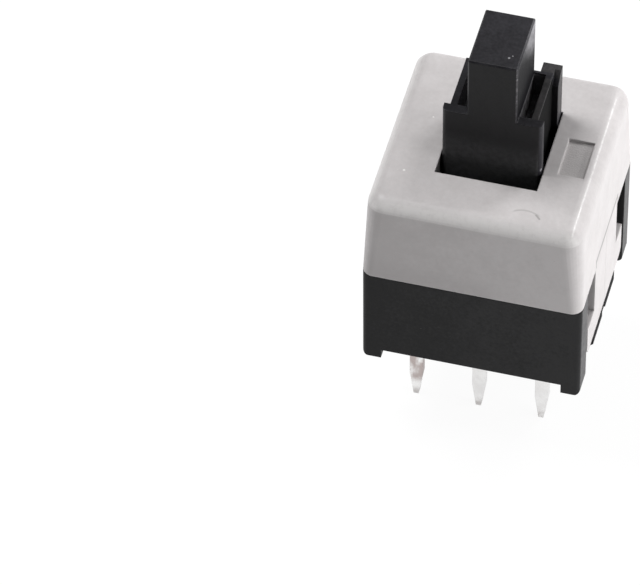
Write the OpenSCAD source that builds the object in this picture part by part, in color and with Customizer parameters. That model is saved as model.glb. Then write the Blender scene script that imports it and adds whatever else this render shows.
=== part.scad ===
// Latching six-pin pushbutton switch with a square cover.
// Origin: centre of the footprint, on the circuit board. +Z runs up along the plunger, -Y is the front.

/* [Housing] */
// Width of the housing, across the two tongues
body_w = 8.6; // [8:0.1:9.5]
// Depth of the housing, from the front to the back of the cover
body_d = 8.6; // [8.4:0.1:9.4]
// Height of the joint between base and cover above the board
base_h = 4.8; // [4.4:0.05:5]
// Height of the cover above that joint
cover_h = 4.05; // [3.9:0.05:5]
// Radius of the cover's upright corners at the joint
corner_r = 0.45; // [0.3:0.05:0.7]

/* [Cover] */
// Radius of the upright corners at the top
top_corner_r = 0.7; // [0.6:0.05:1.2]
// Radius of the edge round the top
edge_r = 0.6; // [0.3:0.05:0.7]
// Taper of each side over the height of the cover
side_draft = 0.12; // [0:0.02:0.25]
// Taper of the front and of the back over that height
front_draft = 0.02; // [0:0.02:0.25]
// Thickness of the side walls
cover_t = 0.8; // [0.6:0.05:0.9]
// Thickness of the top
top_t = 0.9; // [0.7:0.05:1]
// Width of the shallow recess beside the hole
recess_w = 1; // [0.5:0.05:1.05]
// Length of the recess
recess_l = 1.9; // [1:0.1:3]
// Depth of the recess
recess_depth = 0.12; // [0.05:0.01:0.3]
// Distance from the hole to the recess
recess_gap = 0.55; // [0.4:0.01:0.6]
// Distance from the axis forward to the middle of the recess
recess_y = 0.13; // [0:0.01:0.5]

/* [Tongues] */
// Width of the neck
neck_w = 3.6; // [3:0.1:3.9]
// Width of the foot below the hooks
foot_w = 5.7; // [5.2:0.1:6]
// Height of the foot
foot_l = 1.45; // [1.2:0.05:1.5]
// Thickness of the tongue
tongue_t = 0.72; // [0.5:0.02:0.76]
// Step from the side of the cover back to the tongue
tongue_step = 0.02; // [0:0.02:0.15]
// Radius of the lower corners of the foot
foot_r = 0.3; // [0.1:0.05:0.5]

/* [Base] */
// Step from the front and back of the cover in to the walls of the base
base_step = 0.2; // [0.1:0.05:0.3]
// Radius of the upright corners of the base
base_corner_r = 0.2; // [0.1:0.05:0.4]
// Thickness of the front and back walls
wall_t = 1; // [0.9:0.05:1.1]
// Thickness of the floor
floor_t = 0.8; // [0.7:0.05:0.9]
// Height of the corner feet, which lift the floor off the board
stand_h = 0.44; // [0.3:0.02:0.6]
// Width of each corner foot
stand_w = 0.75; // [0.5:0.05:1.2]
// Radius of the outer lower corner of each foot
stand_r = 0.25; // [0.1:0.05:0.3]
// Width of the ledge below each tongue
ledge_w = 4; // [2:0.1:4.4]
// Thickness of the ledge
ledge_t = 0.5; // [0.3:0.05:0.55]
// Cut at the corners of the ledge
ledge_cut = 0.25; // [0.1:0.05:0.4]
// Width of the notch in the middle of the ledge
ledge_notch_w = 0.5; // [0.2:0.1:1]
// Height of the upright face of each hook
hook_h = 0.95; // [0.6:0.05:1.1]
// Length of the ramp above that face
hook_ramp = 0.8; // [0.4:0.05:0.85]
// Step from the side of the cover back to the face of the hook
hook_step = 0.3; // [0.2:0.05:0.4]
// Thickness of the panels behind the tongues
panel_t = 0.45; // [0.4:0.01:0.48]
// Height of the panels above the bore of the latch wire
panel_rise = 0.45; // [0.3:0.05:0.6]
// Height of the seat that centres the return spring
seat_h = 0.4; // [0.3:0.05:0.45]

/* [Pins] */
// Distance between neighbouring pins of a row
pin_pitch = 2.5; // [2.4:0.05:2.6]
// Distance between the two rows
row_gap = 5; // [4.8:0.05:5.1]
// Width of a pin
pin_w = 0.52; // [0.4:0.02:0.6]
// Thickness of the contact metal
metal_t = 0.32; // [0.25:0.01:0.35]
// Length of the pins below the board surface
pin_l = 3.35; // [2.5:0.05:4]
// Length of the tapered end
taper_l = 1.2; // [0.5:0.1:1.6]
// Width of the tip
tip_w = 0.2; // [0.1:0.02:0.3]
// Width of the contact blade inside the housing
blade_w = 1.5; // [1.2:0.05:1.7]
// Height of the long blades above the resting contacts
blade_rise = 0.6; // [0.3:0.05:0.9]
// Height of the resting contacts above the short blades
break_gap = 0.9; // [0.7:0.05:1]

/* [Plunger] */
// Width of the stem
stem_w = 1.92; // [1.6:0.02:2.1]
// Height of the stem above the shoulder block
stem_h = 2.87; // [2:0.01:4]
// Chamfer of the stem's edges
stem_chamfer = 0.06; // [0.05:0.01:0.2]
// Width of the shoulder block
block_w = 3.85; // [3.6:0.05:4.1]
// Distance from the axis to the front of block and stem
block_front = 1.33; // [1.2:0.01:1.5]
// Distance from the axis to the back of the web
web_back = 1.55; // [1.45:0.01:1.6]
// Step from the back of the web in to the back of the stem
stem_step = 0.05; // [0.02:0.01:0.1]
// Distance from the axis to the back of the tab
block_back = 2.05; // [1.95:0.01:2.1]
// Height of the block above the cover
block_h = 2.58; // [2.4:0.01:3]
// Thickness of the block's front flange
flange_t = 0.4; // [0.3:0.05:0.6]
// Radius of the flange's upright front edges
flange_r = 0.2; // [0.1:0.05:0.25]
// Width of the web behind the flange
web_w = 3.38; // [2.9:0.02:3.4]
// Width of the back tab
tab_w = 0.74; // [0.5:0.02:0.8]
// Length over which the tab lies beside the web
tab_lap = 0.2; // [0.1:0.05:0.3]
// Chamfer along the top front edge of the tab
tab_chamfer = 0.45; // [0.1:0.05:0.5]
// Width of the rim outside each pocket in the top of the web
rim_w = 0.26; // [0.15:0.01:0.3]
// Width of the rim behind each pocket
back_rim_w = 0.12; // [0.1:0.01:0.3]
// Depth of these pockets
pocket_depth = 1.2; // [0.2:0.05:1.5]
// Full travel
travel = 2.3; // [1.8:0.05:2.4]
// Travel at which it latches
latch_travel = 1.7; // [1.3:0.05:1.8]

/* [Slider inside the housing] */
// Height of the slider
slider_h = 3.9; // [3.8:0.05:4]
// Depth of the slider
slider_d = 4.4; // [4.3:0.05:4.5]
// Reach of the slider to its plain side
plain_reach = 2.75; // [2.5:0.05:2.8]
// Reach of the slider to its cam side
cam_reach = 2.3; // [2.25:0.05:2.35]
// Radius of the slider's upright corners
slider_r = 0.2; // [0.1:0.05:0.3]
// Height of the contacts above the slider's lower face
contact_h = 1.65; // [1.5:0.05:1.8]
// Width of each contact pocket
contact_pocket_w = 4.1; // [3.9:0.05:4.2]
// Depth of each contact pocket
contact_pocket_depth = 0.45; // [0.4:0.05:0.5]

/* [Latch] */
// Diameter of the latch wire
wire_d = 0.36; // [0.3:0.02:0.4]
// Height of the wire's pivot above the floor
pivot_h = 0.96; // [0.8:0.02:1.05]
// Height of the resting point of the groove above the slider's lower face
rest_h = 0.6; // [0.5:0.05:0.7]
// Swing of the wire's tip to each side of the heart
swing = 0.95; // [0.8:0.05:1]
// Depth of the groove on the way in
groove_depth = 0.45; // [0.4:0.05:0.5]
// Drop of each of the groove's steps
groove_step = 0.1; // [0.05:0.01:0.12]
// Thickness of the latch leaf
leaf_t = 0.12; // [0.08:0.01:0.15]
// Width of the latch leaf
leaf_w = 2; // [1.6:0.1:2.4]

/* [Springs] */
// Outer diameter of the return spring
spring_d = 1.9; // [1.7:0.05:2]
// Diameter of its wire
spring_wire = 0.24; // [0.18:0.01:0.28]
// Number of turns
spring_turns = 8; // [6:1:9]
// Depth of the bore for the return spring, up into the slider
spring_bore_h = 2.7; // [2.4:0.1:3]
// Thickness of the moving contacts
contact_t = 0.15; // [0.1:0.01:0.18]
// Width of each sprung finger
finger_w = 0.45; // [0.3:0.05:0.5]
// Height of each finger's arch
finger_l = 2.4; // [2.2:0.1:2.6]

/* [Clearances] */
// Play of the block in the hole, on each side
hole_gap = 0.06; // [0.05:0.01:0.1]
// Open space in front of the block
front_gap = 0.8; // [0.5:0.02:0.9]
// Play above the slider at rest
stop_gap = 0.05; // [0.02:0.01:0.08]
// Play round fixed pieces that are pushed in
fit_gap = 0.02; // [0.01:0.01:0.04]
// Play between the tongues and the base
tongue_gap = 0.05; // [0.03:0.01:0.08]
// Play of the wire in its bore and in the groove, on each side
wire_gap = 0.04; // [0.03:0.01:0.06]
// Space that sliding faces keep from each other
slide_gap = 0.05; // [0.03:0.01:0.08]
// Space round the return spring
spring_gap = 0.15; // [0.1:0.01:0.2]

/* [Hidden] */
$fn = 32;

// Overlap with which fused pieces meet and cuts pass through a face
eps = 0.02;

// Back of the stem and front of the tab
stem_back = web_back - stem_step;
tab_y = web_back - tab_lap;

// Heights
floor_z = stand_h + floor_t;
top_z = base_h + cover_h;
ceiling_z = top_z - top_t;
block_z = top_z + block_h;
stem_z = block_z + stem_h;
slider_top = ceiling_z - stop_gap;
slider_z = slider_top - slider_h;

// Half sizes of the housing and its inner faces
half_w = body_w / 2;
half_d = body_d / 2;
wall_face_y = half_d - base_step;
wall_y = wall_face_y - wall_t;
side_x = half_w - cover_t;
tongue_x = half_w - tongue_step - tongue_t;

// Hole in the cover, and the recess beside it
hole_w = block_w + 2 * hole_gap;
hole_front = -block_front - front_gap;
hole_back = block_back + hole_gap;
recess_x = hole_w / 2 + recess_gap;

// Tongue heights
foot_z = stand_h + ledge_t + tongue_gap;
shoulder_z = foot_z + foot_l;
hook_z = shoulder_z + tongue_gap;

// Contact blades: they lean on the walls, and the moving contacts meet their inner faces
blade_y = wall_y - metal_t;
contact_z = slider_z + contact_h;
blade_top = contact_z + blade_rise;
short_blade_top = contact_z - break_gap;
step_z = base_h - slide_gap;
panel_x = tongue_x - slide_gap - panel_t;
side_blade_x = panel_x - slide_gap - blade_w / 2;
side_shift = side_blade_x - pin_pitch;

// Moving contacts: a plate in the slider's pocket, fingers arched up to the blades
finger_x = contact_pocket_w / 2 - finger_w / 2 - 2 * slide_gap;
plate_y = slider_d / 2 - contact_pocket_depth;
plate_h = finger_l + 2 * contact_t;
arch_y = blade_y - slide_gap;
arch_rise = arch_y - plate_y - contact_t;
arch_r = (pow(finger_l / 2, 2) + pow(arch_rise, 2)) / (2 * arch_rise);

// Latch: the wire turns about X and its tip follows the groove
cam_x = cam_reach;
wire_r = wire_d / 2;
wire_x = cam_x + 2 * slide_gap + wire_r;
pivot_z = floor_z + pivot_h;
tip_z = slider_z + rest_h;
arm_l = tip_z - pivot_z;
swing_angle = asin(swing / arm_l);
groove_w = wire_d + 4 * wire_gap;
// Groove points on the slider as [y, height above the slider's lower face]
rest_point = [0, rest_h];
top_drop = arm_l * (1 - cos(swing_angle));
in_point = [-swing, rest_h + travel - top_drop];
lock_point = [0, rest_h + latch_travel];
out_point = [swing, rest_h + travel - top_drop];
// The leaf leans on the side wall and touches the wire from outside
leaf_x = side_x - leaf_t / 2;
leaf_touch_x = wire_x + wire_r + slide_gap + leaf_t / 2;

// Return spring: it stands on the floor and ends in the slider's bore
spring_bore_d = spring_d + 2 * spring_gap;
spring_low = floor_z + fit_gap + spring_wire / 2;
spring_high = slider_z + spring_bore_h - fit_gap - spring_wire / 2;
end_pitch = 1.08 * spring_wire;
free_pitch = (spring_high - spring_low - 2 * end_pitch) / (spring_turns - 2);
coil_r = (spring_d - spring_wire) / 2;

// ---------------------------------------------------------------- shapes

// Rectangle with round corners, centred
module round_rect(w, d, r) {
    square([w - 2 * r, d], center = true);
    square([w, d - 2 * r], center = true);
    for (x = [-1, 1], y = [-1, 1])
        translate([x * (w / 2 - r), y * (d / 2 - r)])
            circle(r = r);
}

// Outline in Y and Z, pulled along +X from x
module pull_x(x, length) {
    translate([x, 0, 0])
        rotate([90, 0, 90])
            linear_extrude(height = length)
                children();
}

// Outline in X and Z, pulled along +Y from y
module pull_y(y, length) {
    translate([0, y + length, 0])
        rotate([90, 0, 0])
            linear_extrude(height = length)
                children();
}

// Strip of even thickness with round bends, through a list of points
module strip(points, w) {
    for (i = [1:len(points) - 1])
        slot(points[i - 1], points[i], w);
}

// Rectangle from corner to corner with cut corners
module cut_rect(low, high, c) {
    polygon([
        [low[0] + c, low[1]], [high[0] - c, low[1]],
        [high[0], low[1] + c], [high[0], high[1] - c],
        [high[0] - c, high[1]], [low[0] + c, high[1]],
        [low[0], high[1] - c], [low[0], low[1] + c]
    ]);
}

// Box given by its lower and upper corners
module block(low, high) {
    translate(low)
        cube(high - low);
}

// Slot with round ends from p to q
module slot(p, q, w) {
    d = q - p;
    translate(p)
        circle(d = w);
    translate(q)
        circle(d = w);
    translate(p)
        rotate(atan2(d[1], d[0]))
            translate([0, -w / 2])
                square([norm(d), w]);
}

// ---------------------------------------------------------------- cover

// Outer skin: upright at the joint, drawn in towards a rounded top
module cover_skin() {
    hull()
        for (x = [-1, 1], y = [-1, 1]) {
            translate([x * (half_w - corner_r), y * (half_d - corner_r), base_h])
                cylinder(r = corner_r, h = eps);
            translate([
                x * (half_w - side_draft - top_corner_r),
                y * (half_d - front_draft - top_corner_r),
                top_z - edge_r
            ])
                rotate_extrude()
                    translate([top_corner_r - edge_r, 0])
                        intersection() {
                            circle(r = edge_r);
                            translate([0, -edge_r])
                                square([edge_r, 2 * edge_r]);
                        }
        }
}

// Neck and foot of a tongue, in Y and Z
module tongue_outline() {
    translate([-neck_w / 2, shoulder_z - eps])
        square([neck_w, base_h - shoulder_z + 2 * eps]);
    translate([0, foot_z + foot_l / 2])
        difference() {
            square([foot_w, foot_l], center = true);
            for (side = [-1, 1])
                translate([side * foot_w / 2, -foot_l / 2])
                    difference() {
                        square(2 * foot_r, center = true);
                        translate([-side * foot_r, foot_r])
                            circle(r = foot_r);
                    }
        }
}

module cover() {
    color("gainsboro")
    difference() {
        union() {
            cover_skin();
            pull_x(tongue_x, tongue_t)
                tongue_outline();
            pull_x(-tongue_x - tongue_t, tongue_t)
                tongue_outline();
        }
        // Room inside
        translate([0, 0, base_h - eps])
            linear_extrude(height = ceiling_z - base_h + eps)
                round_rect(2 * side_x, 2 * (wall_face_y - cover_t), corner_r);
        // Hole for the plunger
        block([-hole_w / 2, hole_front, ceiling_z - eps], [hole_w / 2, hole_back, top_z + eps]);
        // Shallow recess in the top
        block(
            [recess_x, -recess_y - recess_l / 2, top_z - recess_depth],
            [recess_x + recess_w, -recess_y + recess_l / 2, top_z + eps]
        );
    }
}

// ---------------------------------------------------------------- base

// One long wall seen from the front, with a foot at each end
module wall_outline() {
    difference() {
        translate([-half_w, 0])
            square([body_w, base_h]);
        translate([-half_w + stand_w, -eps])
            square([body_w - 2 * stand_w, stand_h + eps]);
        for (side = [-1, 1])
            translate([side * half_w, 0])
                difference() {
                    square(2 * stand_r, center = true);
                    translate([-side * stand_r, stand_r])
                        circle(r = stand_r);
                }
    }
}

// Hook beside a tongue: upright face above the foot's shoulder, ramp above that
module hook_outline() {
    face_x = half_w - hook_step;
    root_x = panel_x;
    polygon([
        [root_x, hook_z],
        [face_x, hook_z],
        [face_x, hook_z + hook_h],
        [tongue_x, hook_z + hook_h + hook_ramp],
        [root_x, hook_z + hook_h + hook_ramp]
    ]);
}

module base_side(side) {
    mirror([side < 0 ? 1 : 0, 0, 0]) {
        // Ledge below the tongue
        difference() {
            translate([0, 0, stand_h])
                linear_extrude(height = ledge_t)
                    cut_rect([panel_x, -ledge_w / 2], [half_w - tongue_step, ledge_w / 2], ledge_cut);
            block(
                [half_w - tongue_t, -ledge_notch_w / 2, stand_h - eps],
                [half_w, ledge_notch_w / 2, stand_h + ledge_t / 2]
            );
        }
        // Panel behind the tongue
        block(
            [panel_x, -wall_y - eps, stand_h],
            [panel_x + panel_t, wall_y + eps, pivot_z + wire_r + panel_rise]
        );
        // Hooks
        for (end = [-1, 1])
            translate([0, end > 0 ? neck_w / 2 + tongue_gap : -wall_y - eps, 0])
                pull_y(0, wall_y - neck_w / 2 - tongue_gap + eps)
                    hook_outline();
    }
}

module base() {
    color("#202124")
    difference() {
        union() {
            // Front and back walls with their feet
            intersection() {
                linear_extrude(height = base_h)
                    round_rect(body_w, 2 * wall_face_y, base_corner_r);
                union() {
                    pull_y(-wall_face_y, wall_t)
                        wall_outline();
                    pull_y(wall_y, wall_t)
                        wall_outline();
                }
            }
            // Floor
            block([-panel_x - eps, -wall_y - eps, stand_h], [panel_x + eps, wall_y + eps, floor_z]);
            base_side(-1);
            base_side(1);
            // Seat that centres the return spring
            translate([0, 0, floor_z - eps])
                cylinder(d = spring_d - 2 * spring_wire - 2 * slide_gap, h = seat_h + eps);
        }
        // Slots of the six pins
        for (x = [-1, 0, 1], y = [-1, 1])
            translate([x * pin_pitch, y * row_gap / 2, (stand_h + floor_z) / 2])
                cube([pin_w + 2 * fit_gap, metal_t + 2 * fit_gap, floor_t + 2 * eps], center = true);
        // Room for the stepped blades in the walls
        for (side = [-1, 1])
            mirror([0, side < 0 ? 1 : 0, 0])
                block(
                    [-side_blade_x - blade_w / 2 - fit_gap, wall_y - 2 * eps, floor_z],
                    [-side_blade_x + blade_w / 2 + fit_gap, wall_y + metal_t + fit_gap, base_h + eps]
                );
        // Bore of the latch pin
        translate([panel_x - eps, 0, pivot_z])
            rotate([0, 90, 0])
                cylinder(d = wire_d + 2 * wire_gap, h = panel_t + 2 * eps);
    }
}

// ---------------------------------------------------------------- terminals

// Pin with its tapered tip, in X and Z
module pin_outline() {
    polygon([
        [-pin_w / 2, floor_z + eps],
        [-pin_w / 2, taper_l - pin_l],
        [-tip_w / 2, -pin_l],
        [tip_w / 2, -pin_l],
        [pin_w / 2, taper_l - pin_l],
        [pin_w / 2, floor_z + eps]
    ]);
}

// Pin, foot on the floor and contact blade. shift is the way from the pin to the blade along X.
// A stepped blade lies back in the wall up to the joint and comes forward above it.
module terminal(column, side, top, shift = 0, stepped = false) {
    inner_y = row_gap / 2 - metal_t / 2;
    back = stepped ? metal_t : 0;
    left = min(-pin_w / 2, shift - blade_w / 2);
    right = max(pin_w / 2, shift + blade_w / 2);
    color("silver")
    mirror([0, side < 0 ? 1 : 0, 0])
        translate([column * pin_pitch, 0, 0]) {
            pull_y(inner_y, metal_t)
                pin_outline();
            block([left, inner_y, floor_z], [right, wall_y + back, floor_z + metal_t]);
            block(
                [shift - blade_w / 2, blade_y + back, floor_z],
                [shift + blade_w / 2, wall_y + back, stepped ? step_z : top]
            );
            if (stepped)
                block(
                    [shift - blade_w / 2, blade_y, step_z - metal_t],
                    [shift + blade_w / 2, wall_y + eps, top]
                );
        }
}

module terminal_front_left() terminal(-1, -1, blade_top, -side_shift, stepped = true);
module terminal_front_centre() terminal(0, -1, blade_top);
module terminal_front_right() terminal(1, -1, short_blade_top, side_shift);
module terminal_back_left() terminal(-1, 1, blade_top, -side_shift, stepped = true);
module terminal_back_centre() terminal(0, 1, blade_top);
module terminal_back_right() terminal(1, 1, short_blade_top, side_shift);

// ---------------------------------------------------------------- plunger

// Section of the shoulder block: front flange, web and back tab
module block_outline() {
    translate([0, flange_t / 2 - block_front])
        intersection() {
            square([block_w, flange_t], center = true);
            translate([0, flange_t / 2])
                round_rect(block_w, 2 * flange_t, flange_r);
        }
    translate([-web_w / 2, -block_front])
        square([web_w, block_front + web_back]);
    translate([block_w / 2 - tab_w, tab_y])
        square([tab_w, block_back - tab_y]);
}

// Stem with chamfered edges
module stem() {
    low = slider_top - eps;
    intersection() {
        translate([0, 0, low])
            linear_extrude(height = stem_z - low)
                cut_rect([-stem_w / 2, -block_front], [stem_w / 2, stem_back], stem_chamfer);
        pull_x(-stem_w / 2, stem_w)
            cut_rect([-block_front, low], [stem_back, stem_z], stem_chamfer);
        pull_y(-block_front, block_front + stem_back)
            cut_rect([-stem_w / 2, low], [stem_w / 2, stem_z], stem_chamfer);
    }
}

// Heart-shaped groove on the slider's cam side. Its floor drops by a step from leg to leg,
// so that the wire can run round it one way only.
module heart_groove() {
    legs = [
        [rest_point, in_point],
        [in_point, lock_point],
        [lock_point, out_point],
        [out_point, rest_point + [groove_w / 2, groove_w]]
    ];
    for (i = [0:len(legs) - 1])
        translate([0, 0, slider_z])
            pull_x(cam_x - groove_depth - i * groove_step, groove_depth + i * groove_step + eps)
                slot(legs[i][0], legs[i][1], groove_w);
}

module plunger() {
    pocket_low = slider_z + contact_h - plate_h / 2 - fit_gap;
    pocket_high = slider_z + contact_h + plate_h / 2 + fit_gap;
    color("#1d1d20")
    difference() {
        union() {
            // Slider
            translate([(cam_x - plain_reach) / 2, 0, slider_z])
                linear_extrude(height = slider_h)
                    round_rect(plain_reach + cam_x, slider_d, slider_r);
            // Shoulder block
            difference() {
                translate([0, 0, slider_top - eps])
                    linear_extrude(height = block_z - slider_top + eps)
                        block_outline();
                // Slope at the top front edge of the tab
                pull_x(web_w / 2, block_w - web_w)
                    polygon([
                        [tab_y - eps, block_z - tab_chamfer - eps],
                        [tab_y + tab_chamfer + eps, block_z + eps],
                        [tab_y - eps, block_z + eps]
                    ]);
                // Pockets beside the stem
                for (side = [-1, 1])
                    mirror([side < 0 ? 1 : 0, 0, 0])
                        block(
                            [0, flange_t - block_front, block_z - pocket_depth],
                            [web_w / 2 - rim_w, web_back - back_rim_w, block_z + eps]
                        );
            }
            stem();
        }
        // Bore of the return spring
        translate([0, 0, slider_z - eps])
            cylinder(d = spring_bore_d, h = spring_bore_h + eps);
        // Pockets of the moving contacts
        for (side = [-1, 1])
            mirror([0, side < 0 ? 1 : 0, 0])
                block(
                    [-contact_pocket_w / 2, plate_y, pocket_low],
                    [contact_pocket_w / 2, slider_d / 2 + eps, pocket_high]
                );
        heart_groove();
    }
}

// ---------------------------------------------------------------- springs and latch

// Plate in the slider's pocket with three fingers arched towards the blades
module moving_contact(side) {
    plate_w = contact_pocket_w - 2 * fit_gap;
    color("goldenrod")
    mirror([0, side < 0 ? 1 : 0, 0]) {
        block(
            [-plate_w / 2, plate_y, contact_z - plate_h / 2],
            [plate_w / 2, plate_y + contact_t, contact_z + plate_h / 2]
        );
        for (x = [-finger_x, 0, finger_x])
            pull_x(x - finger_w / 2, finger_w)
                translate([arch_y - arch_r, contact_z])
                    difference() {
                        circle(r = arch_r, $fn = 64);
                        circle(r = arch_r - contact_t, $fn = 64);
                        translate([arch_r - arch_rise - contact_t / 2 - 2 * arch_r, -arch_r])
                            square(2 * arch_r);
                    }
    }
}

module contact_front() moving_contact(-1);
module contact_back() moving_contact(1);

// Height of the coil's centre line after t turns: close end turns, open turns between
function coil_z(t) =
    t < 1 ? spring_low + t * end_pitch
    : t > spring_turns - 1 ? spring_high - (spring_turns - t) * end_pitch
    : spring_low + end_pitch + (t - 1) * free_pitch;

module return_spring() {
    steps = 18;
    sides = 8;
    rings = spring_turns * steps;
    points = [
        for (i = [0:rings], j = [0:sides - 1])
            let (
                turn = 360 * i / steps,
                round_angle = 360 * j / sides,
                r = coil_r + spring_wire / 2 * cos(round_angle)
            )
            [r * cos(turn), r * sin(turn), coil_z(i / steps) + spring_wire / 2 * sin(round_angle)]
    ];
    skin = [
        for (i = [0:rings - 1], j = [0:sides - 1])
            let (next = (j + 1) % sides)
            [i * sides + j, i * sides + next, (i + 1) * sides + next, (i + 1) * sides + j]
    ];
    color("lightsteelblue")
    polyhedron(
        points,
        concat([[for (j = [sides - 1:-1:0]) j]], skin, [[for (j = [0:sides - 1]) rings * sides + j]])
    );
}

// Bent wire: lower leg in the base, arm beside the slider, upper leg in the groove
module latch_pin() {
    leg_end = panel_x + panel_t - slide_gap;
    tip_x = cam_x - groove_depth + slide_gap;
    color("slategray") {
        translate([wire_x, 0, pivot_z])
            cylinder(d = wire_d, h = arm_l);
        translate([wire_x, 0, pivot_z])
            rotate([0, 90, 0])
                cylinder(d = wire_d, h = leg_end - wire_x);
        translate([tip_x, 0, tip_z])
            rotate([0, 90, 0])
                cylinder(d = wire_d, h = wire_x - tip_x);
        for (z = [pivot_z, tip_z])
            translate([wire_x, 0, z])
                sphere(d = wire_d);
    }
}

// Steel strip against the side wall, bent in to press on the arm of the wire
module latch_leaf() {
    foot = 1.6;
    touch_z = tip_z - wire_d;
    bend_z = touch_z + arm_l / 2;
    color("lightslategray")
    pull_y(-leaf_w / 2, leaf_w)
        strip([
            [leaf_x, bend_z + foot],
            [leaf_x, bend_z],
            [leaf_touch_x, touch_z],
            [leaf_touch_x + leaf_t, touch_z - 2 * leaf_t]
        ], leaf_t);
}

cover();
base();
terminal_front_left();
terminal_front_centre();
terminal_front_right();
terminal_back_left();
terminal_back_centre();
terminal_back_right();
plunger();
contact_front();
contact_back();
return_spring();
latch_pin();
latch_leaf();
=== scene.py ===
import bpy
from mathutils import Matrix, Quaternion, Vector


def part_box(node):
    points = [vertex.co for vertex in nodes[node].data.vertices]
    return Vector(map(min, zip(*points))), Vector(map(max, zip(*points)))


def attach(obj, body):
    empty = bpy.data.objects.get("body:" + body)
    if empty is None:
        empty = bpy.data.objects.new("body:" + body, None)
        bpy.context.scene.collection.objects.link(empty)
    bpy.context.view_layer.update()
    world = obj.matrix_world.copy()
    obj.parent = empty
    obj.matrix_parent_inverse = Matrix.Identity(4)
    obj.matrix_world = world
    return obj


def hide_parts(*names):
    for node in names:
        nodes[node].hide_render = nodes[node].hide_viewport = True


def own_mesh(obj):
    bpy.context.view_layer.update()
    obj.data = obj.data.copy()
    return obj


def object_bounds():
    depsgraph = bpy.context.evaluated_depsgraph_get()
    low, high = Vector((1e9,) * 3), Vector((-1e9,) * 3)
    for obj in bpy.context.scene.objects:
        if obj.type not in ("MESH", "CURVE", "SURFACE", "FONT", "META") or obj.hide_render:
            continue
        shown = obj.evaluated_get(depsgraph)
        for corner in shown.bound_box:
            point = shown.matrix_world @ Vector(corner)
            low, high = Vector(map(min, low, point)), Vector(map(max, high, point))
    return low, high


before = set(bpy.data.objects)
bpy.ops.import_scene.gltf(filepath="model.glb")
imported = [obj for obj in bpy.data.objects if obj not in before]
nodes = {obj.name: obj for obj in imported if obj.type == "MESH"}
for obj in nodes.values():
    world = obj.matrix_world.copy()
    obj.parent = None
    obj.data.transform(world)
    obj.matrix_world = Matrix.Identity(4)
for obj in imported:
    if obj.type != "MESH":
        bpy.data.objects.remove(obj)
cad_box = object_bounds()

# Every number in the materials is in millimetres in the row frame.
MM = 0.001

# Heights at which the solids end.
COVER_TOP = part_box("cover")[1].z / MM
SKIN_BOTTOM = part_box("base")[1].z / MM
STEM_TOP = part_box("plunger")[1].z / MM
PIN_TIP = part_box("terminal_front_left")[0].z / MM
# Places inside their outlines that the marks in the materials follow.
RECESS_X, RECESS_Y = 3.035, -0.13
RECESS_HALF_X, RECESS_HALF_Y = 0.53, 0.99
HOLE_HALF_X, HOLE_HALF_Y = 2.01, 2.19
TONGUE_ROOT = 5.16
TONGUE_HALF = 1.80
WALL_END_X = 4.27
STEM_SIDE = 0.96
STEM_FRONT = -1.33
BLOCK_TOP = 11.43
WEB_SIDE = 1.69
TAB_FRONT = 1.58

# Aim of the lamps, in metres.
LAMP_AIM = Vector((0, 0, 0.006))


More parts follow.
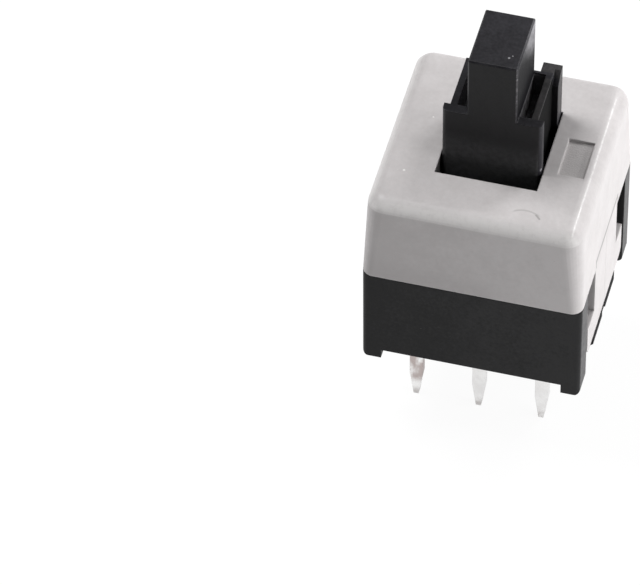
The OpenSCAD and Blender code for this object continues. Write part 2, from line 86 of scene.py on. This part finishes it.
# ---------------------------------------------------------------- node helpers
class Graph:
    """The node tree of a material or world, with short calls for the nodes used here."""

    def __init__(self, owner, output="ShaderNodeOutputMaterial"):
        self.owner = owner
        owner.use_nodes = True
        self.tree = owner.node_tree
        self.tree.nodes.clear()
        self.out = self.add(output)

    def add(self, kind, **props):
        n = self.tree.nodes.new(kind)
        for k, v in props.items():
            setattr(n, k, v)
        return n

    def plug(self, value, socket):
        """Links value to socket where it is another socket, and else sets it there."""
        if isinstance(value, bpy.types.NodeSocket):
            self.tree.links.new(value, socket)
        elif value is not None:
            socket.default_value = value

    def math(self, op, a, b=None):
        n = self.add("ShaderNodeMath", operation=op)
        self.plug(a, n.inputs[0])
        self.plug(b, n.inputs[1])
        return n.outputs[0]

    def size(self, value):
        """value without its sign"""
        return self.math("ABSOLUTE", value)

    def either(self, a, b):
        """The greater of two masks."""
        return self.math("MAXIMUM", a, b)

    def both(self, *masks):
        """The product of masks and numbers."""
        out = masks[0]
        for m in masks[1:]:
            out = self.math("MULTIPLY", out, m)
        return out

    def plus(self, base, mask, share):
        """base + mask * share"""
        n = self.add("ShaderNodeMath", operation="MULTIPLY_ADD")
        for i, v in enumerate((mask, share, base)):
            self.plug(v, n.inputs[i])
        return n.outputs[0]

    def step(self, value, low, high, to_low=0.0, to_high=1.0):
        """Smooth ramp from to_low at low to to_high at high."""
        n = self.add("ShaderNodeMapRange", interpolation_type="SMOOTHSTEP")
        for i, v in enumerate((value, low, high, to_low, to_high)):
            self.plug(v, n.inputs[i])
        return n.outputs[0]

    def near(self, value, centre, half, soft):
        """1 where value is within half of centre, fading to 0 over soft."""
        gap = self.size(self.math("SUBTRACT", value, centre))
        return self.step(gap, half + soft, half)

    def mix(self, fac, a, b):
        """Colour a where fac is 0, and b where it is 1."""
        n = self.add("ShaderNodeMix", data_type="RGBA")
        self.plug(fac, n.inputs[0])
        self.plug(a, n.inputs[6])
        self.plug(b, n.inputs[7])
        return n.outputs[2]

    def place(self):
        """The point in the row frame, in millimetres."""
        t = self.add("ShaderNodeTexCoord")
        n = self.add("ShaderNodeVectorMath", operation="SCALE")
        self.plug(t.outputs["Object"], n.inputs[0])
        n.inputs["Scale"].default_value = 1 / MM
        return n.outputs[0]

    def axes(self, p):
        n = self.add("ShaderNodeSeparateXYZ")
        self.plug(p, n.inputs[0])
        return n.outputs

    def stretch(self, p, x, y, z):
        n = self.add("ShaderNodeMapping")
        self.plug(p, n.inputs["Vector"])
        n.inputs["Scale"].default_value = (x, y, z)
        return n.outputs[0]

    def noise(self, p, scale, detail=2.0, rough=0.5, distort=0.0):
        n = self.add("ShaderNodeTexNoise")
        self.plug(p, n.inputs["Vector"])
        n.inputs["Scale"].default_value = scale
        n.inputs["Detail"].default_value = detail
        n.inputs["Roughness"].default_value = rough
        n.inputs["Distortion"].default_value = distort
        return n.outputs["Fac"]

    def blotches(self, p):
        """Uneven patches from 0 to 1."""
        return self.step(self.noise(p, 4.5, 4.0, 0.65), 0.35, 0.65)

    def specks(self, p, scale, *kinds):
        """Round specks in random cells: a mask for each (radius, core, channel, limit), and a cell has
        one where that channel of its random colour passes limit."""
        n = self.add("ShaderNodeTexVoronoi")
        self.plug(p, n.inputs["Vector"])
        n.inputs["Scale"].default_value = scale
        chance = self.axes(n.outputs["Color"])
        masks = []
        for radius, core, channel, limit in kinds:
            inside = self.step(n.outputs["Distance"], radius, core)
            masks.append(self.both(inside, self.step(chance[channel], limit, limit + 0.02)))
        return masks

    def distance(self, p, point):
        n = self.add("ShaderNodeVectorMath", operation="DISTANCE")
        self.plug(p, n.inputs[0])
        n.inputs[1].default_value = point
        return n.outputs["Value"]

    def dots(self, p, spots):
        """1 inside any of the small round marks given as (x, y, z, radius)."""
        out = None
        for x, y, z, radius in spots:
            m = self.step(self.distance(p, (x, y, z)), radius, 0.45 * radius)
            out = m if out is None else self.either(out, m)
        return out

    def facing(self):
        """The true normal's X, Y and Z; the nodes stand at the origin, unturned."""
        g = self.add("ShaderNodeNewGeometry")
        return self.axes(g.outputs["Normal"])

    def rounded(self, radius):
        """Normals rounded over the sharp edges."""
        n = self.add("ShaderNodeBevel", samples=6)
        n.inputs["Radius"].default_value = radius * MM
        return n.outputs[0]

    def edge(self, normal):
        """0 on a flat, rising towards 1 on a sharp edge."""
        g = self.add("ShaderNodeNewGeometry")
        n = self.add("ShaderNodeVectorMath", operation="DOT_PRODUCT")
        self.plug(normal, n.inputs[0])
        self.plug(g.outputs["Normal"], n.inputs[1])
        return self.step(n.outputs["Value"], 0.995, 0.86)

    def bump(self, height, distance, normal):
        n = self.add("ShaderNodeBump")
        n.inputs["Strength"].default_value = 1.0
        n.inputs["Distance"].default_value = distance * MM
        self.plug(height, n.inputs["Height"])
        self.plug(normal, n.inputs["Normal"])
        return n.outputs[0]

    def shader(self, colour, rough, normal, **sockets):
        """Ends a material: the principled shader, with constant values for any further sockets."""
        n = self.add("ShaderNodeBsdfPrincipled")
        self.plug(colour, n.inputs["Base Color"])
        self.plug(rough, n.inputs["Roughness"])
        self.plug(normal, n.inputs["Normal"])
        for k, v in sockets.items():
            n.inputs[k].default_value = v
        self.tree.links.new(n.outputs[0], self.out.inputs[0])
        return self.owner

    def glow(self, kind, strength):
        """A white emission or background shader."""
        n = self.add(kind)
        n.inputs["Color"].default_value = rgb(1.0, 1.0, 1.0)
        n.inputs["Strength"].default_value = strength
        return n.outputs[0]

    def blend(self, fac, a, b):
        """Ends the tree with a mix of two shaders."""
        n = self.add("ShaderNodeMixShader")
        for i, v in enumerate((fac, a, b)):
            self.plug(v, n.inputs[i])
        self.tree.links.new(n.outputs[0], self.out.inputs[0])


def material(name):
    return Graph(bpy.data.materials.new(name))


def rgb(r, g, b):
    return (r, g, b, 1.0)


# ---------------------------------------------------------------- materials
def cover_plastic(deep, pale):
    """Light warm grey moulding: satin, with a faint cloudiness, fine grain, handling marks, and painted
    light and shade on its front, edges, crest, hole and grooves.
    """
    g = material("cover_plastic")
    p = g.place()
    x, y, z = g.axes(p)
    clouds = g.noise(p, 0.9, 3.0, 0.55)
    mottle = g.noise(p, 5.5, 3.0, 0.6)
    grain = g.noise(p, 26.0, 2.0, 0.6)
    front = g.step(g.facing()[1], -0.80, -0.96)

    # painted light: the front is paler towards its right, as if lit from the right
    tint = g.plus(g.both(clouds, 0.55), mottle, 0.45)
    tint = g.plus(tint, g.both(x, front), 0.060)
    colour = g.mix(g.step(tint, 0.24, 0.76), rgb(*deep), rgb(*pale))
    # painted shade: the front is darker low down, towards the base
    low = g.both(g.step(z, SKIN_BOTTOM + 1.5, SKIN_BOTTOM + 0.2), front, g.step(x, 2.2, 0.2),
                 g.step(clouds, 0.3, 0.6, 0.6, 1.0))
    colour = g.mix(g.both(low, 0.22), colour, rgb(0.30, 0.285, 0.29))
    # a few specks of dust and dark grit in the plastic
    dust, grit = g.specks(p, 2.1, (0.055, 0.03, 0, 0.80), (0.04, 0.02, 1, 0.87))
    colour = g.mix(g.both(dust, 0.35), colour, rgb(0.80, 0.78, 0.76))
    colour = g.mix(g.both(grit, 0.5), colour, rgb(0.20, 0.19, 0.19))

    # edges rubbed pale, partly a painted highlight; the rounded front and left edges of the top are painted
    # lighter still, painted light carried down over the rounding
    soft = g.rounded(0.08)
    colour = g.mix(g.both(g.edge(soft), 0.25), colour, rgb(0.68, 0.66, 0.65))
    soft_x, soft_y, soft_z = g.axes(soft)
    turned = g.either(g.both(soft_x, -0.8), g.both(soft_y, -1.0))
    lit_brow = g.both(g.step(soft_z, 0.02, 0.42), g.step(turned, 0.22, 0.80),
                  g.step(z, COVER_TOP - 0.75, COVER_TOP - 0.65), g.step(mottle, 0.25, 0.55, 0.75, 1.0))
    colour = g.mix(lit_brow, colour, rgb(0.800, 0.780, 0.774))
    # and a painted highlight along the long edge beside the recess, where the plastic is also smoother
    crest_highlight = g.both(g.near(x, 3.77, 0.010, 0.045), g.step(z, COVER_TOP - 0.19, COVER_TOP - 0.11),
                   g.near(y, -0.45, 3.45, 0.55), g.step(g.noise(p, 5.5, 3.0, 0.7), 0.34, 0.62, 0.35, 1.0))
    colour = g.mix(g.both(crest_highlight, 0.45), colour, rgb(0.93, 0.92, 0.91))

    # the floor of the recess is spark-eroded: duller and a little darker
    recess = g.both(g.step(z, COVER_TOP - 0.015, COVER_TOP - 0.025),
                    g.near(x, RECESS_X, RECESS_HALF_X, 0.02), g.near(y, RECESS_Y, RECESS_HALF_Y, 0.02))
    colour = g.mix(g.both(recess, 0.30), colour, rgb(0.36, 0.345, 0.34))
    # three nicks on the top, and a curved scuff that ends in a short dark stroke
    nicks = g.dots(p, [(-3.12, -2.33, COVER_TOP, 0.07), (-2.72, 0.62, COVER_TOP, 0.05),
                       (1.35, 3.05, COVER_TOP, 0.05)])
    colour = g.mix(g.both(nicks, 0.8), colour, rgb(0.92, 0.90, 0.89))
    from_centre = g.distance(p, (1.83, -4.05, COVER_TOP))
    scuff = g.both(g.near(from_centre, 0.85, 0.020, 0.036), g.near(x, 1.86, 0.42, 0.16),
                   g.step(y, -3.70, -3.50), 0.55)
    stroke = g.dots(p, [(2.24 + 0.04 * i, -3.34 - 0.04 * i, COVER_TOP, 0.055) for i in range(5)])
    scuff = g.either(scuff, stroke)
    colour = g.mix(g.both(scuff, 0.65), colour, rgb(0.26, 0.25, 0.245))
    # painted shade: the walls of the hole are painted near black
    hole_shade = g.both(g.step(g.size(x), HOLE_HALF_X + 0.02, HOLE_HALF_X), g.near(y, 0.0, HOLE_HALF_Y, 0.02),
                  g.step(z, COVER_TOP - 0.02, COVER_TOP - 0.07))
    colour = g.mix(g.both(hole_shade, 0.92), colour, rgb(0.045, 0.043, 0.042))
    # the groove where each tongue leaves the skin, darkened with painted shade, and the mould's parting
    # line down its middle
    across = g.both(g.near(z, TONGUE_ROOT, 0.040, 0.085), g.near(y, 0.0, TONGUE_HALF + 0.03, 0.03))
    down = g.both(g.near(g.size(y), TONGUE_HALF, 0.020, 0.030), g.near(z, SKIN_BOTTOM + 0.18, 0.18, 0.02))
    groove = g.both(g.step(g.size(x), 4.05, 4.12), g.either(across, down))
    colour = g.mix(g.both(groove, 0.75), colour, rgb(0.22, 0.21, 0.215))
    seam = g.both(g.near(y, 0.0, 0.012, 0.018), g.step(z, SKIN_BOTTOM + 0.15, SKIN_BOTTOM + 0.05))

    rough = g.plus(g.plus(0.33, mottle, 0.08), grain, 0.10)
    rough = g.plus(g.plus(rough, crest_highlight, -0.16), recess, 0.20)
    height = g.plus(g.both(grain, 0.35), mottle, 0.9)
    height = g.plus(height, g.noise(p, 1.7, 2.0, 0.5), 3.0)
    height = g.plus(height, recess, g.both(g.noise(p, 15.0, 2.0, 0.6), 4.0))
    for mark, depth in ((seam, -6.0), (groove, -7.0), (scuff, -2.0), (nicks, 3.0), (crest_highlight, 1.5)):
        height = g.plus(height, mark, depth)
    return g.shader(colour, rough, g.bump(height, 0.0035, soft), IOR=1.48)


def black_plastic(name, deep, pale, rough_low, edge_wear_and_highlight, ior, marks):
    """Black moulding with a satin face, faint flow marks, pale dust, painted light towards +X, and edges
    rubbed pale with a painted highlight.
    """
    g = material(name)
    p = g.place()
    clouds = g.noise(p, 0.8, 3.0, 0.6)
    flow = g.noise(g.stretch(p, 3.2, 3.2, 0.8), 1.0, 3.0, 0.55, 0.4)
    mottle = g.noise(p, 7.0, 3.0, 0.6)
    grain = g.noise(p, 30.0, 2.0, 0.6)
    tone = g.plus(g.both(clouds, 0.5), mottle, 0.5)
    # painted light: the tone is lighter towards +X
    tone = g.plus(tone, g.axes(p)[0], 0.045)
    colour = g.mix(g.step(tone, 0.32, 0.70), rgb(*deep), rgb(*pale))
    dust, = g.specks(p, 2.6, (0.06, 0.03, 0, 0.84))
    colour = g.mix(g.both(dust, 0.35), colour, rgb(0.16, 0.155, 0.15))
    soft = g.rounded(0.05)
    # edges rubbed pale, partly a painted highlight
    worn_and_highlit_edges = g.both(g.edge(soft), g.step(mottle, 0.35, 0.62, 0.30, 1.0))
    colour = g.mix(g.both(worn_and_highlit_edges, edge_wear_and_highlight), colour, rgb(0.105, 0.102, 0.110))
    rough = g.plus(g.plus(rough_low, flow, 0.14), grain, 0.12)
    height = g.plus(g.plus(g.both(grain, 0.35), mottle, 0.9), flow, 2.0)
    colour, rough, height = marks(g, p, colour, rough, height)
    return g.shader(colour, rough, g.bump(height, 0.0035, soft), IOR=ior)


def plunger_marks(g, p, colour, rough, height):
    """Chips of the stem, painted highlights on its corner and right side, painted shade on its right and
    front faces and the web's drawn sides, and painted light in the pockets of the block.
    """
    x, y, z = g.axes(p)
    side_x = g.size(x)
    normal_x, normal_y, _ = g.facing()
    stem = g.step(side_x, 1.2, 1.1)

    chips = g.dots(p, [(0.49, -0.79, STEM_TOP, 0.06), (0.60, -0.66, STEM_TOP, 0.04),
                       (STEM_SIDE, STEM_FRONT, 13.75, 0.08), (STEM_SIDE, STEM_FRONT, 12.6, 0.06),
                       (1.90, -1.20, 9.05, 0.09), (-STEM_SIDE, STEM_FRONT, 13.2, 0.06)])
    colour = g.mix(chips, colour, rgb(0.26, 0.255, 0.27))
    # painted shade: the web's drawn sides are dull, and painted deep black
    shaded_web_side = g.both(g.near(side_x, WEB_SIDE, 0.02, 0.01), g.step(z, BLOCK_TOP - 0.03, BLOCK_TOP - 0.07),
                 g.near(y, 0.22, 1.14, 0.02))
    colour = g.mix(g.both(shaded_web_side, 0.95), colour, rgb(0.003, 0.003, 0.003))
    rough = g.either(rough, shaded_web_side)
    # painted shade: the stem's right side and the front are painted near black too
    right = g.both(g.step(normal_x, 0.80, 0.95), stem)
    front = g.both(g.step(normal_y, -0.80, -0.95), 0.90)
    colour = g.mix(g.either(g.both(right, 0.92), front), colour, rgb(0.003, 0.003, 0.004))
    rough = g.plus(rough, right, 0.22)
    # painted highlight: the stem's long front corner is painted pale, fading downwards
    corner = g.both(g.near(x, STEM_SIDE - 0.02, 0.025, 0.03), g.near(y, STEM_FRONT + 0.02, 0.025, 0.03),
                    g.step(z, BLOCK_TOP - 0.01, BLOCK_TOP + 0.05),
                    g.step(z, BLOCK_TOP + 0.07, STEM_TOP - 0.3, 0.15, 1.0),
                    g.step(g.blotches(p), 0.2, 0.8, 0.35, 1.0))
    colour = g.mix(corner, colour, rgb(0.13, 0.125, 0.13))
    # painted reflection: a pale wedge is painted on its right side, below the back top corner
    reflection_wedge_edge = g.step(y, -1.0, 1.6, STEM_TOP - 0.18, STEM_TOP - 1.6)
    reflection_wedge = g.both(g.step(g.math("SUBTRACT", z, reflection_wedge_edge), -0.35, 0.9), g.step(normal_x, 0.6, 0.9),
                   g.step(y, -1.2, 0.9, 0.25, 1.0), stem, g.step(g.blotches(p), 0.0, 1.0, 0.60, 1.0))
    colour = g.mix(reflection_wedge, colour, rgb(0.27, 0.265, 0.28))
    # painted highlight: the rim beside the right pocket and the back tab are painted greyer than the rest
    rim_highlight = g.both(g.step(z, BLOCK_TOP - 0.02, BLOCK_TOP - 0.01), g.near(x, 1.56, 0.13, 0.02),
                 g.near(y, 0.15, 1.05, 0.10))
    tab_highlight = g.both(g.step(x, 1.10, 1.15), g.step(y, TAB_FRONT - 0.02, TAB_FRONT),
                 g.step(z, COVER_TOP + 0.05, COVER_TOP + 0.55))
    grey = g.mix(g.blotches(p), rgb(0.030, 0.029, 0.030), rgb(0.050, 0.047, 0.049))
    colour = g.mix(g.either(rim_highlight, tab_highlight), colour, grey)
    # painted light: the pockets are painted a lighter grey that lifts the shade in them; the front is
    # greyer where the block rubs in the hole
    lit_pocket = g.both(g.step(z, BLOCK_TOP - 0.03, BLOCK_TOP - 0.09), g.step(side_x, 1.44, 1.42),
                    g.near(y, 0.25, 1.19, 0.01), g.step(z, 10.0, 10.1))
    grey = g.mix(g.blotches(p), rgb(0.125, 0.122, 0.130), rgb(0.190, 0.186, 0.195))
    colour = g.mix(lit_pocket, colour, grey)
    rub = g.both(g.step(z, COVER_TOP + 1.7, COVER_TOP + 0.1),
                 g.step(y, STEM_FRONT + 0.03, STEM_FRONT + 0.01))
    grey = g.mix(g.blotches(p), rgb(0.060, 0.060, 0.062), rgb(0.085, 0.085, 0.088))
    colour = g.mix(rub, colour, grey)
    rough = g.plus(rough, g.either(lit_pocket, rub), 0.15)
    return colour, rough, g.plus(height, chips, 4.0)


def base_marks(g, p, colour, rough, height):
    """A dark line of painted shade and some lint under the cover, and the greyer, sheared ends of the long
    walls.
    """
    x, y, z = g.axes(p)
    side_x, side_y = g.size(x), g.size(y)
    # painted shade: a dark line just under the cover
    shade_under_cover = g.step(z, SKIN_BOTTOM - 0.14, SKIN_BOTTOM - 0.04)
    colour = g.mix(g.both(shade_under_cover, 0.6), colour, rgb(0.003, 0.003, 0.003))
    lint, = g.specks(g.stretch(p, 1.0, 1.0, 2.0), 2.4, (0.10, 0.05, 1, 0.70))
    lint = g.both(lint, g.near(z, SKIN_BOTTOM - 0.35, 0.22, 0.08))
    colour = g.mix(g.both(lint, 0.5), colour, rgb(0.16, 0.15, 0.15))
    ends = g.both(g.step(side_x, WALL_END_X, WALL_END_X + 0.02), g.step(side_y, 2.9, 3.0))
    grey = g.mix(g.blotches(p), rgb(0.060, 0.059, 0.061), rgb(0.098, 0.096, 0.098))
    colour = g.mix(ends, colour, grey)
    ledge = g.both(g.step(side_x, 4.15, 4.20), g.step(side_y, 2.5, 2.4))
    rough = g.plus(g.plus(rough, shade_under_cover, 0.25), ledge, 0.45)
    return colour, rough, g.plus(height, lint, 3.0)


def metal(name, deep, pale, rough_low, lines, marks=None):
    """Rolled or plated metal: lines is the stretch of the rolling marks along X, Y and Z."""
    g = material(name)
    p = g.place()
    rolled = g.noise(g.stretch(p, *lines), 1.0, 4.0, 0.65)
    stain = g.noise(p, 2.4, 4.0, 0.6)
    fine = g.noise(p, 34.0, 2.0, 0.6)
    colour = g.mix(g.step(stain, 0.36, 0.66), rgb(*deep), rgb(*pale))
    rough = g.plus(g.plus(rough_low, stain, 0.08), rolled, 0.16)
    height = g.plus(g.both(fine, 0.4), rolled, 1.2)
    if marks:
        colour, rough = marks(g, p, colour, rough)
    return g.shader(colour, rough, g.bump(height, 0.003, g.rounded(0.03)), Metallic=1.0)


def pin_marks(g, p, colour, rough):
    """Brown tarnish on the left pins, and bare grey copper at the sheared tips."""
    x, _, z = g.axes(p)
    patch = g.noise(g.stretch(p, 1.0, 1.0, 0.45), 1.9, 3.0, 0.6)
    tarnish = g.both(g.step(z, PIN_TIP + 0.60, PIN_TIP + 1.00), g.step(patch, 0.30, 0.55),
                     g.step(x, -1.1, -1.4))
    colour = g.mix(g.both(tarnish, 0.75), colour, rgb(0.42, 0.33, 0.31))
    tip = g.both(g.step(z, PIN_TIP + 0.50, PIN_TIP + 0.10),
                 g.step(g.noise(p, 3.0, 3.0, 0.6), 0.38, 0.60, 0.35, 1.0))
    colour = g.mix(g.both(tip, 0.60), colour, rgb(0.42, 0.385, 0.37))
    return colour, g.plus(rough, g.either(tarnish, tip), 0.22)


cover_mat = cover_plastic(deep=(0.528, 0.504, 0.504), pale=(0.610, 0.585, 0.586))
base_mat = black_plastic("base_plastic", deep=(0.0022, 0.0022, 0.0030), pale=(0.0150, 0.0148, 0.0160),
                         rough_low=0.34, edge_wear_and_highlight=0.30, ior=1.29, marks=base_marks)
plunger_mat = black_plastic("plunger_plastic", deep=(0.0100, 0.0096, 0.0118), pale=(0.0265, 0.0257, 0.0305),
                            rough_low=0.32, edge_wear_and_highlight=0.75, ior=1.33, marks=plunger_marks)
terminal_mat = metal("silver_plate", deep=(0.90, 0.89, 0.885), pale=(0.97, 0.965, 0.96),
                     rough_low=0.08, lines=(14, 14, 2.0), marks=pin_marks)
contact_mat = metal("spring_bronze", deep=(0.70, 0.58, 0.38), pale=(0.86, 0.77, 0.60),
                    rough_low=0.20, lines=(2.0, 14, 14))
steel_mat = metal("spring_steel", deep=(0.48, 0.485, 0.50), pale=(0.66, 0.665, 0.68),
                  rough_low=0.18, lines=(18, 18, 4))

BY_NODE = {"cover": cover_mat, "base": base_mat, "plunger": plunger_mat,
           "return_spring": steel_mat, "latch_pin": steel_mat, "latch_leaf": steel_mat,
           "contact_front": contact_mat, "contact_back": contact_mat}
for name, obj in nodes.items():
    obj.data.materials.clear()
    obj.data.materials.append(BY_NODE.get(name, terminal_mat))


# ---------------------------------------------------------------- pieces
def add_object(name, data):
    obj = bpy.data.objects.new(name, data)
    bpy.context.scene.collection.objects.link(obj)
    return obj


def shortening_spring():
    """The return spring's coil as its own piece, attached to the housing in place of the node."""
    coil = add_object("coil_spring", nodes["return_spring"].data.copy())
    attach(coil, "housing")
    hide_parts("return_spring")
    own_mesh(coil)


shortening_spring()


# ---------------------------------------------------------------- stage
def paper_floor(half, tone):
    """Pale paper under the pins: it takes shadows, and shows near white to the camera and in gloss."""
    z = cad_box[0].z
    corners = [(-half, -half, z), (half, -half, z), (half, half, z), (-half, half, z)]
    mesh = bpy.data.meshes.new("floor")
    mesh.from_pydata(corners, [], [(0, 1, 2, 3)])
    add_object("floor", mesh)
    g = material("floor_paper")
    path = g.add("ShaderNodeLightPath")
    paper = g.add("ShaderNodeBsdfDiffuse")
    paper.inputs["Color"].default_value = rgb(tone, tone, tone)
    white = g.glow("ShaderNodeEmission", 1.05)
    seen = g.plus(g.both(path.outputs["Is Glossy Ray"], 0.70), path.outputs["Is Camera Ray"], 0.90)
    g.blend(seen, paper.outputs[0], white)
    mesh.materials.append(g.owner)


def studio_world(strength):
    """A plain white room: dim as a light, and full white where the camera sees it."""
    world = bpy.data.worlds.new("studio")
    bpy.context.scene.world = world
    g = Graph(world, "ShaderNodeOutputWorld")
    path = g.add("ShaderNodeLightPath")
    seen = g.either(path.outputs["Is Camera Ray"], path.outputs["Is Transmission Ray"])
    g.blend(seen, g.glow("ShaderNodeBackground", strength), g.glow("ShaderNodeBackground", 1.0))


def lamp(name, toward, distance, width, height, power, mirrored=True):
    """A soft light that stands in the direction toward and faces the switch; mirrored says if gloss
    shows it."""
    data = bpy.data.lights.new(name, "AREA")
    data.shape = "RECTANGLE"
    data.size = width
    data.size_y = height
    data.energy = power
    obj = add_object(name, data)
    obj.visible_camera = False
    obj.visible_glossy = mirrored
    way = Vector(toward).normalized()
    obj.location = LAMP_AIM + way * distance
    obj.rotation_mode = "QUATERNION"
    obj.rotation_quaternion = (-way).to_track_quat("-Z", "Y")


paper_floor(half=3.0, tone=0.82)
studio_world(strength=0.10)
RIGHT = (0.972, 0.085, 0.200)
lamp("lamp_left", (-0.457, 0.106, 0.883), 0.17, 0.07, 0.07, 0.202)
# most of the right light is kept out of the gloss, or the cover's top turns white when seen from the left
lamp("lamp_right", RIGHT, 0.24, 0.22, 0.14, 0.14)
lamp("lamp_right_soft", RIGHT, 0.24, 0.22, 0.14, 0.60, mirrored=False)
lamp("lamp_back", (0.372, 0.644, 0.669), 0.24, 0.07, 0.07, 0.205)


# ---------------------------------------------------------------- camera
# Fitted to the photograph's right-hand switch.
cam_data = bpy.data.cameras.new("camera")
cam_data.sensor_width = 36.0
cam_data.lens = 362.28
cam_data.clip_start = 0.02
cam_data.clip_end = 20.0
cam = add_object("camera", cam_data)
cam.location = Vector((37.4013, -163.1251, 185.8926)) * MM
cam.rotation_mode = "QUATERNION"
cam.rotation_quaternion = Quaternion((0.92575, 0.35529, 0.04917, 0.11976))
bpy.context.scene.camera = cam

bpy.context.scene.view_settings.view_transform = "Standard"
